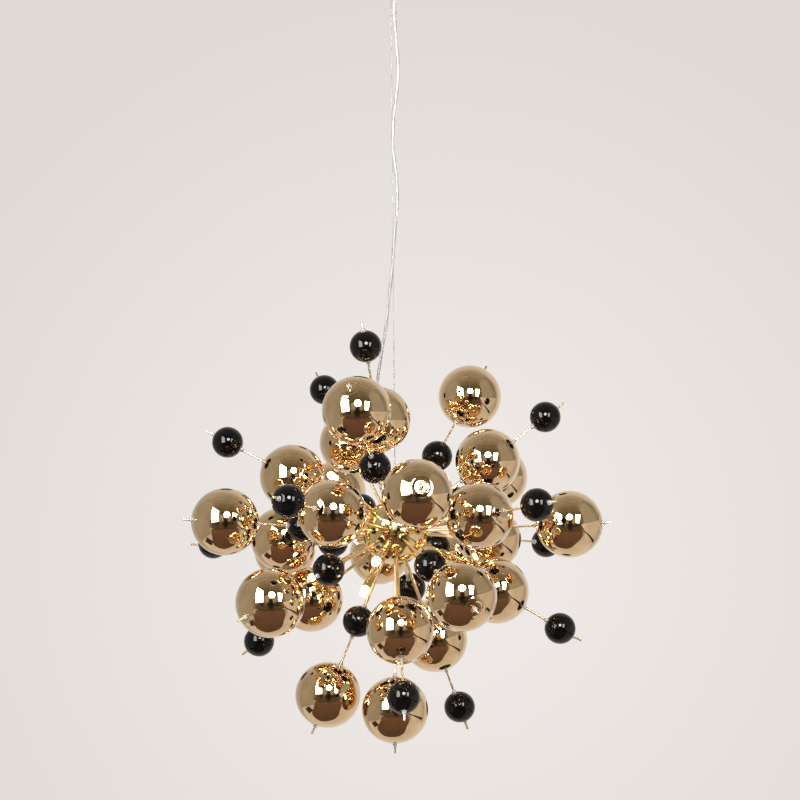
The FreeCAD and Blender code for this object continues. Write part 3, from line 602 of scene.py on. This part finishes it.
# %% Copy the arms
HALF_TURN = Matrix.Rotation(math.pi, 4, "X")
for tier in TIERS:
    arms = [(True, angles) for angles in GOLD_FIRST[tier]]
    arms += [(False, angles) for angles in BLACK_FIRST[tier]]
    places = {"gold": [], "black": [], "stopper": []}
    for gold_first, angles in arms:
        for kind, distance in STOPS[gold_first]:
            places[kind].append(pointing(angles, distance / 1000))
            outer = pointing(angles, (distance + SEATS[kind]) / 1000)
            inner = pointing(angles, (distance - SEATS[kind]) / 1000) @ HALF_TURN
            places["stopper"] += [outer, inner]
    golds = joined("gold_glass_globes_" + tier, copies_of(gold_model, places["gold"]))
    blacks = joined("black_glass_globes_" + tier, copies_of(black_model, places["black"]))
    stoppers = joined("stoppers_" + tier, copies_of(stopper_model, places["stopper"]))
    rods = joined("brass_rods_" + tier,
                  copies_of(rod_model, [pointing(angles) for first, angles in arms]))
    tubes = joined("brass_tubes_" + tier, [
        copies_of(spacers[gold_first], [pointing(angles)])[0] for gold_first, angles in arms])
    stands_for(golds, gold_glass, "gold_glass", "pendant", tier + "_gold_globes")
    stands_for(blacks, black_glass, "black_glass", "pendant", tier + "_black_globes")
    stands_for(stoppers, clear_plastic, "clear_plastic", "pendant", tier + "_grommets")
    stands_for(rods, rod_brass, "brass_rod", "pendant", tier + "_rods")
    stands_for(tubes, rod_brass, "brass_rod", "pendant", tier + "_spacer_tubes")
for model in (gold_model, black_model, stopper_model, rod_model, *spacers.values()):
    bpy.data.objects.remove(model)

# %% [markdown]
# The hub is spun from brass as two half shells that meet in a fine seam. A sphere is cut in half
# with a bisect, its lip is eased inward a little, so that the seam shows as a line, and Solidify
# gives it a 3 mm wall.

# %% Hub
HUB_WALL = 0.003
HALF_SEAM = 0.0006
LIP_DEPTH = 0.0005


def half_shell(name, side):
    """The upper (+1) or lower (-1) half of the hub, with its lip eased inward."""
    clear_selection()
    bpy.ops.mesh.primitive_uv_sphere_add(segments=96, ring_count=64, radius=HUB_FACE / 1000)
    shell = bpy.context.object
    shell.name = name
    work_on(shell)
    bpy.ops.object.mode_set(mode="EDIT")
    bpy.ops.mesh.select_all(action="SELECT")
    bpy.ops.mesh.bisect(plane_co=(0, 0, side * HALF_SEAM), plane_no=(0, 0, 1),
                        clear_inner=side > 0, clear_outer=side < 0)
    bpy.ops.object.mode_set(mode="OBJECT")
    pick(shell, lambda place: abs(place.z) < HALF_SEAM + 0.0001)
    bpy.ops.mesh.extrude_region_move(
        TRANSFORM_OT_translate={"value": (0, 0, -side * LIP_DEPTH)})
    bpy.ops.transform.resize(value=(0.994, 0.994, 1), center_override=(0, 0, 0))
    bpy.ops.object.mode_set(mode="OBJECT")
    finish_shape(shell)
    add_modifier(shell, "SOLIDIFY", thickness=HUB_WALL, offset=-1.0)
    finish_shade(shell)
    shell.location = HUB
    work_on(shell)
    bpy.ops.object.transform_apply(location=True, rotation=True, scale=True)
    return shell


upper_shell = half_shell("hub_top_shell", 1)
lower_shell = half_shell("hub_bottom_shell", -1)
stands_for(upper_shell, polished_brass, "polished_brass", "pendant", "hub_upper_shell")
stands_for(lower_shell, polished_brass, "polished_brass", "pendant", "hub_lower_shell")

# %% [markdown]
# A lamp is a thin tube with a brass cup on its end, a ceramic holder in the cup, and a two-pin
# capsule bulb. The cup's rim is slightly rolled. The bulb is turned like the rest, then its foot
# is pressed flat, as the glass is pinched round the pins, in three steps that ease into the
# round glass.

# %% Lamps
SLEEVE = [(6.05, 136.0), (9.0, 136.0), (9.7, 136.3), (10.0, 137.0), (10.0, 170.0),
          (10.0, 203.4), (10.0, 204.2), (9.85, 204.8), (9.6, 205.0), (9.35, 204.8),
          (9.2, 204.2), (9.2, 138.0), (6.05, 138.0)]
LAMP_TUBE = [(5.0, 61.0), (5.8, 61.0), (6.0, 61.2), (6.0, 141.8), (5.8, 142.0), (5.0, 142.0)]
HOLDER = [(7.4, 145.0), (8.2, 145.2), (8.6, 146.0), (8.6, 170.0), (8.2, 170.8), (7.4, 171.0)]
BULB_FOOT = 171.5
PIN_SPACING = 0.009
BULB = [(6.2, 0.0), (6.5, 0.4), (6.5, 10.0), (6.9, 11.5), (7.4, 13.5), (7.5, 15.0),
        (7.5, 48.5), (7.3, 50.4), (6.6, 52.3), (5.4, 53.9), (3.8, 55.1), (2.2, 55.7),
        (1.2, 55.8), (0.7, 56.0)]
sleeve_model = turned("sleeve", SLEEVE, 48, closed=True)
tube_model = turned("lamp_tube", LAMP_TUBE, 32, closed=True)
holder_model = turned("holder", HOLDER, 40)
glass_model = turned("bulb_glass", [(r, BULB_FOOT + z) for r, z in BULB], 32)
PRESSED = ((0.0, 10.1, 0.385), (11.4, 11.6, 0.60), (13.4, 13.6, 0.85))
for low, high, flat in PRESSED:
    bottom, top = ((BULB_FOOT + level) / 1000 for level in (low, high))
    pick(glass_model, lambda place: bottom - 1e-6 < place.z < top + 1e-6)
    bpy.ops.transform.resize(value=(1, flat, 1), center_override=(0, 0, bottom))
finish_shape(glass_model, 40)
pin_model = turned("bulb_pin", [(0.3, 161.5), (0.6, 161.8), (0.6, BULB_FOOT)], 12)
pins = copies_of(pin_model, [Matrix.Translation((side * PIN_SPACING / 2, 0, 0))
                             for side in (-1, 1)])
lamp_places = [pointing(angles) for angles in LAMPS]
sleeves = joined("brass_lamp_sleeves", copies_of(sleeve_model, lamp_places))
tubes = joined("brass_lamp_tubes", copies_of(tube_model, lamp_places))
holders = joined("ceramic_lamp_holders", copies_of(holder_model, lamp_places))
stands_for(sleeves, polished_brass, "polished_brass", "pendant", "lamp_sleeves")
stands_for(tubes, polished_brass, "polished_brass", "pendant", "lamp_tubes")
stands_for(holders, ceramic, "ceramic", "pendant", "lamp_holders")
for number, place in enumerate(lamp_places, 1):
    glass = copies_of(glass_model, [place])
    bulb_pins = copies_of(pins[0], [place]) + copies_of(pins[1], [place])
    for pin in bulb_pins:
        pin.data.materials.append(nickel)
    glass[0].data.materials.append(lit_glass)
    bulb = joined("capsule_bulb_" + str(number), glass + bulb_pins)
    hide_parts("bulb_" + str(number))
    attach(bulb, "bulb_" + str(number))
for model in (sleeve_model, tube_model, holder_model, glass_model, pin_model, *pins):
    bpy.data.objects.remove(model)
print("ten lamps")

# %% [markdown]
# The fittings that stay as the CAD drew them get their finishes here: the canopy, the wire
# gripper, the cable grips, the nuts and the parts inside the hub.

# %% Finishes of the kept CAD pieces
KEPT = {
    "canopy": spun_brass, "canopy_screws": polished_brass, "hanger_nipple": polished_brass,
    "hub_cap_nut": polished_brass, "hub_seam_ring": polished_brass,
    "gripper_body": nickel, "gripper_plunger": nickel, "terminal_screws": nickel,
    "ceiling_plate": galvanised, "wire_ferrule": galvanised, "swivel_stud": galvanised,
    "tie_tube": galvanised, "rod_nuts": galvanised, "lamp_tube_nuts": galvanised,
    "gripper_spring": spring_steel, "clamping_balls": spring_steel,
    "cable_clips": clear_plastic, "cable_gland": clear_plastic, "gland_nut": clear_plastic,
    "cord_grip": clear_plastic, "cord_grip_nut": clear_plastic,
    "cable_tail_ceiling": white_plastic, "cable_tail_hub": white_plastic,
    "terminal_block": white_plastic, "hub_connector_block": white_plastic,
    "lamp_leads": silicone}
for node, finish in KEPT.items():
    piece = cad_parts[node]
    piece.data.materials.clear()
    piece.data.materials.append(finish)
for cord, finish in ((clear_cable, cable_sheath), (steel_wire, wire_steel)):
    cord.data.materials.append(finish)
print(len(KEPT), "CAD pieces have finishes")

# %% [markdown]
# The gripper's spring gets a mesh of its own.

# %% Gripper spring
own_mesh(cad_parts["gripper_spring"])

# %% [markdown]
# The studio. A pale floor lies under the light, outside the picture. The background is the
# world: a pale warm grey with a painted glow, a little lighter behind the light, which only the
# camera, glossy and clear surfaces see. Everything else gets an even white fill. The cards of
# the next step are made by a helper here.

# %% Floor and background
FLOOR_LEVEL = HUB.z - 1.52
# The way in which the background's painted glow is brightest.
PAINTED_GLOW_WAY = (0.02, 1.0, -0.08)


def stage_card(name, corners, tones, axis=2, strength=1.0, fade=0.0):
    """A glowing card that only reflections see. Its tones, as (place, colour) stops, run along one
    axis from its low end at 0 to its high end at 1, and its rim may fade. On the room's cards the
    tones are painted light and shade."""
    mesh = bpy.data.meshes.new(name)
    mesh.from_pydata(corners, [], [tuple(range(len(corners)))])
    card = bpy.data.objects.new(name, mesh)
    bpy.context.scene.collection.objects.link(card)
    finish = bpy.data.materials.new(name)
    finish.use_nodes = True
    links = finish.node_tree.links
    finish.node_tree.nodes.clear()
    parts = node_in(finish, "ShaderNodeSeparateXYZ")
    links.new(node_in(finish, "ShaderNodeTexCoord").outputs["Object"], parts.inputs["Vector"])
    reach = [(min(corner[way] for corner in corners), max(corner[way] for corner in corners))
             for way in range(3)]
    share = between(finish, parts.outputs[axis], 0.0, 1.0, *reach[axis])
    mixed = ramp(finish, share, tones)
    patches = between(finish, object_noise(finish, 0.9, 4.0), 0.88 * strength, 1.12 * strength)
    light = node_in(finish, "ShaderNodeEmission")
    links.new(mixed, light.inputs["Color"])
    links.new(patches, light.inputs["Strength"])
    surface = light.outputs["Emission"]
    if fade:
        inside = None
        for way in range(3):
            low, high = reach[way]
            if high - low < 0.01:
                continue
            for edge, inner in ((low, low + fade), (high, high - fade)):
                step = between(finish, parts.outputs[way], 0.0, 1.0, edge, inner)
                if inside is None:
                    inside = step
                    continue
                both = node_in(finish, "ShaderNodeMath", operation="MULTIPLY")
                links.new(inside, both.inputs[0])
                links.new(step, both.inputs[1])
                inside = both.outputs["Value"]
        blend = node_in(finish, "ShaderNodeMixShader")
        links.new(inside, blend.inputs["Fac"])
        links.new(node_in(finish, "ShaderNodeBsdfTransparent").outputs["BSDF"], blend.inputs[1])
        links.new(surface, blend.inputs[2])
        surface = blend.outputs["Shader"]
    links.new(surface, node_in(finish, "ShaderNodeOutputMaterial").inputs["Surface"])
    mesh.materials.append(finish)
    card.visible_camera = card.visible_diffuse = card.visible_shadow = False
    card.visible_transmission = card.visible_volume_scatter = False
    return card


clear_selection()
bpy.ops.mesh.primitive_circle_add(vertices=128, radius=3.4, fill_type="NGON",
                                  location=(0, 0, FLOOR_LEVEL))
floor = bpy.context.object
floor.name = "studio_floor"
floor_paint = new_finish("floor_paint", Roughness=0.6, Specular_IOR_Level=0.0)
floor_tone = object_noise(floor_paint, 0.8, 3.0)
feed(floor_paint, "Base Color", ramp(floor_paint, floor_tone, (
    (0.3, (0.78, 0.755, 0.73)), (0.7, (0.81, 0.79, 0.765)))))
floor.data.materials.append(floor_paint)

world = bpy.data.worlds.new("studio")
bpy.context.scene.world = world
world.use_nodes = True
world.node_tree.nodes.clear()
join = world.node_tree.links.new
# Painted glow: the background's colour is lighter the nearer a ray runs to the way behind the
# light.
spread = node_in(world, "ShaderNodeVectorMath", operation="DISTANCE")
spread.inputs[1].default_value = PAINTED_GLOW_WAY
join(node_in(world, "ShaderNodeTexCoord").outputs["Generated"], spread.inputs[0])
seen = node_in(world, "ShaderNodeBackground")
join(ramp(world, spread.outputs["Value"], (
    (0.0, (0.880, 0.840, 0.815)), (0.30, (0.745, 0.700, 0.670)))), seen.inputs["Color"])
fill = node_in(world, "ShaderNodeBackground")
fill.inputs["Color"].default_value = (1.0, 0.985, 0.96, 1)
fill.inputs["Strength"].default_value = 0.45
paths = node_in(world, "ShaderNodeLightPath")
shows_wall = paths.outputs["Is Camera Ray"]
for ray in ("Is Glossy Ray", "Is Transmission Ray"):
    either = node_in(world, "ShaderNodeMath", operation="MAXIMUM")
    join(shows_wall, either.inputs[0])
    join(paths.outputs[ray], either.inputs[1])
    shows_wall = either.outputs["Value"]
blend = node_in(world, "ShaderNodeMixShader")
join(shows_wall, blend.inputs["Fac"])
join(fill.outputs["Background"], blend.inputs[1])
join(seen.outputs["Background"], blend.inputs[2])
join(blend.outputs["Shader"], node_in(world, "ShaderNodeOutputWorld").inputs["Surface"])
print("floor at", round(FLOOR_LEVEL, 3))

# %% [markdown]
# Mirrored globes show the room round them more than their own colour. A plain studio is built
# round the light as flat cards that only reflections see: two window-shaped softboxes and a
# round lamp in front, a dark zone under them, pale side panels, a grey ceiling and a brown
# floor. All of them glow, the walls, floor and ceiling too, though they are no lamps: their
# tones are the room's painted light and shade. Places are in metres from the hub, and lamps are
# given by the directions of their corners.

# %% What the globes mirror
SIDE, BACK = 6.0, 0.95
GROUND, ROOF = -1.5, 3.0
LAMP_CARD_REACH = 3.0
LAMP_WHITE = (1.0, 0.98, 0.94)


def lamp_card(name, seen_corners, strength):
    """A bright card before the hub, given by the directions in which its corners are seen."""
    corners = [pointing(angles, LAMP_CARD_REACH).translation for angles in seen_corners]
    return stage_card(name, corners, ((0.0, LAMP_WHITE), (1.0, LAMP_WHITE)), strength=strength)


def room_card(name, low, high, tones, axis=2, fade=0.0):
    """A flat card between two corners, relative to the hub, thin along one axis."""
    flat = [way for way in range(3) if low[way] == high[way]][0]
    first, second = [way for way in range(3) if way != flat]
    corners = []
    for a, b in ((0, 0), (1, 0), (1, 1), (0, 1)):
        corner = list(low)
        corner[first] = (low, high)[a][first]
        corner[second] = (low, high)[b][second]
        corners.append(HUB + Vector(corner))
    return stage_card(name, corners, tones, axis, fade=fade)


def from_hub(*places):
    """Places given from the hub, in the frame's own coordinates."""
    return [HUB + Vector(place) for place in places]


lamp_card("left_softbox", ((-44, 2), (-22, 5), (-27, 36), (-56, 42)), 16.0)
lamp_card("right_softbox", ((24, 8), (33, 6), (43, 30), (26, 33)), 16.0)
round_rim = []
for corner in range(40):
    angle = 2 * math.pi * corner / 40
    round_rim.append((3.5 + 11.0 * math.cos(angle), 27.5 + 9.5 * math.sin(angle)))
lamp_card("round_lamp", round_rim, 36.0)
FLOOR_OUTLINE = ((-3.14, -2.93), (-3.40, -4.60), (3.70, -4.60), (3.30, -2.90), (2.68, -2.04),
                 (1.29, -1.05), (0.83, -0.72), (0.56, -0.40), (0.42, -0.23), (0.14, -0.05),
                 (-0.08, 0.00), (-0.20, 0.05), (-0.45, 0.15), (-0.69, 0.10), (-1.00, -0.03),
                 (-1.25, -0.30), (-1.39, -0.67), (-1.68, -1.20), (-2.30, -1.90))
# Painted light and shade: the room's cards below glow in tones that grow lighter and darker along
# an axis, as the lit room looks.
stage_card("mirrored_floor", from_hub(*[(x, y, GROUND + 0.01) for x, y in FLOOR_OUTLINE]), (
    (0.0, (0.060, 0.037, 0.027)), (0.22, (0.170, 0.096, 0.068)), (0.42, (0.200, 0.112, 0.079)),
    (0.76, (0.158, 0.091, 0.064)), (1.0, (0.122, 0.070, 0.050))), axis=1)
room_card("mirrored_paper", (-SIDE, -SIDE, GROUND), (SIDE, BACK, GROUND), (
    (0.0, (0.30, 0.27, 0.24)), (0.60, (0.62, 0.57, 0.52)), (1.0, (0.82, 0.76, 0.70))), axis=1)
room_card("mirrored_back_wall", (-SIDE, BACK, GROUND), (SIDE, BACK, ROOF), (
    (0.31, (0.46, 0.43, 0.37)), (0.41, (0.53, 0.49, 0.44)), (0.48, (0.77, 0.72, 0.67)),
    (0.61, (0.78, 0.73, 0.68)), (0.67, (0.44, 0.41, 0.37))), axis=0)
room_card("mirrored_back_shade", (-SIDE, BACK - 0.02, 1.1), (SIDE, BACK - 0.02, 6.0), (
    (0.0, (0.50, 0.46, 0.40)), (1.0, (0.50, 0.46, 0.40))), fade=1.0)
room_card("mirrored_left_wall", (-2.25, -1.75, GROUND), (-2.25, BACK, ROOF), (
    (0.0, (0.40, 0.37, 0.32)), (0.65, (0.44, 0.41, 0.355)), (1.0, (0.40, 0.37, 0.32))), axis=1)
room_card("mirrored_left_front", (-4.6, -SIDE, GROUND), (-4.6, -1.75, ROOF), (
    (0.0, (0.12, 0.11, 0.09)), (1.0, (0.44, 0.41, 0.36))), axis=1)
stage_card("mirrored_right_panel", from_hub(
    (2.10, BACK, GROUND), (2.10, BACK, 0.18), (2.10, -2.50, 0.18), (2.10, -2.30, -0.15),
    (2.10, -1.45, -0.75), (2.10, -1.30, GROUND)), (
    (0.0, (0.86, 0.80, 0.74)), (0.55, (0.76, 0.71, 0.65)), (1.0, (0.60, 0.56, 0.50))), axis=1)
room_card("mirrored_right_wall", (2.15, -1.9, GROUND), (2.15, BACK, ROOF), (
    (0.0, (0.42, 0.39, 0.34)), (0.6, (0.44, 0.41, 0.36)), (0.85, (0.29, 0.27, 0.24)),
    (1.0, (0.31, 0.29, 0.26))), axis=1)
room_card("mirrored_right_front", (4.6, -SIDE, GROUND), (4.6, -1.9, ROOF), (
    (0.0, (0.12, 0.11, 0.09)), (1.0, (0.42, 0.39, 0.34))), axis=1)
room_card("mirrored_ceiling", (-SIDE, -SIDE, ROOF), (SIDE, BACK, ROOF), (
    (0.0, (0.10, 0.09, 0.065)), (0.43, (0.165, 0.148, 0.105)), (0.61, (0.235, 0.200, 0.140)),
    (0.75, (0.355, 0.32, 0.27)), (1.0, (0.48, 0.44, 0.375))), axis=1)
CEILING_BEAMS = ((-3.1, 0.05), (-1.55, 0.04), (-0.75, 0.03), (0.2, 0.04))
for number, (place, width) in enumerate(CEILING_BEAMS, 1):
    room_card("mirrored_beam_%d" % number, (-SIDE, place, ROOF - 0.02),
              (SIDE, place + width, ROOF - 0.02),
              ((0.0, (0.10, 0.09, 0.07)), (1.0, (0.12, 0.11, 0.085))))
room_card("mirrored_front", (-SIDE, -SIDE, GROUND), (SIDE, -SIDE, ROOF), (
    (0.0, (0.06, 0.05, 0.04)), (1.0, (0.22, 0.195, 0.150))))
room_card("mirrored_lamp_glow", (-2.2, -5.6, -0.6), (2.6, -5.6, 3.6), (
    (0.0, (0.56, 0.52, 0.44)), (1.0, (0.36, 0.32, 0.24))), fade=1.3)
room_card("mirrored_dark_zone", (-3.0, -4.9, -3.0), (3.2, -4.9, 0.75), (
    (0.4, (0.045, 0.029, 0.021)), (1.0, (0.060, 0.050, 0.037))), fade=0.6)
room_card("mirrored_low_shade", (-7.0, -4.55, -3.2), (6.6, -4.55, -0.30), (
    (0.45, (0.075, 0.048, 0.034)), (1.0, (0.160, 0.130, 0.098))), fade=0.7)
room_card("mirrored_camera", (-0.55, -4.5, GROUND), (0.95, -4.5, 1.55), (
    (0.0, (0.045, 0.032, 0.024)), (0.5, (0.018, 0.015, 0.012)), (1.0, (0.050, 0.042, 0.032))),
    fade=0.38)
room_card("mirrored_lit_strip", (-1.45, -4.6, -0.75), (-0.75, -4.6, 2.4), (
    (0.0, (0.10, 0.085, 0.065)), (1.0, (0.60, 0.56, 0.47))), fade=0.25)
stage_card("mirrored_left_chest", from_hub((-2.15, -0.62, -1.47), (-1.30, -0.62, -1.47),
                                           (-1.22, 0.10, -1.47), (-1.95, 0.30, -1.47)),
           ((0.0, (0.075, 0.052, 0.036)), (1.0, (0.055, 0.040, 0.028))), axis=0, fade=0.06)
stage_card("mirrored_right_rail", from_hub((2.04, -2.05, -0.70), (2.04, 0.80, -1.36),
                                           (2.04, 0.86, -1.14), (2.04, -2.05, -0.60)),
           ((0.0, (0.055, 0.043, 0.033)), (1.0, (0.045, 0.036, 0.028))))

# %% [markdown]
# The lamps that light the scene are soft and plain. They are left out of reflections, because
# the cards above already stand for them there.

# %% Studio lamps
LAMP_DISTANCE = 3.2


def soft_lamp(name, azimuth, elevation, size, power):
    """A square lamp that shines at the hub from one direction."""
    data = bpy.data.lights.new(name, "AREA")
    data.shape = "SQUARE"
    data.size = size
    data.energy = power
    lamp = bpy.data.objects.new(name, data)
    lamp.matrix_world = pointing((azimuth, elevation), LAMP_DISTANCE)
    lamp.visible_glossy = False
    bpy.context.scene.collection.objects.link(lamp)
    return lamp


for name, azimuth, elevation, size, power in (
        ("left_lamp", -40, 32, 2.0, 62.0), ("right_lamp", 38, 28, 1.5, 42.0),
        ("back_lamp", 165, 45, 2.0, 40.0), ("under_lamp", 20, -40, 1.5, 12.0)):
    lamp = soft_lamp(name, azimuth, elevation, size, power)
    print(lamp.name, power, "W")

# %% [markdown]
# Last, colours are shown as they are, without a film look.

# %% Finish
bpy.context.scene.view_settings.view_transform = "Standard"
clear_selection()
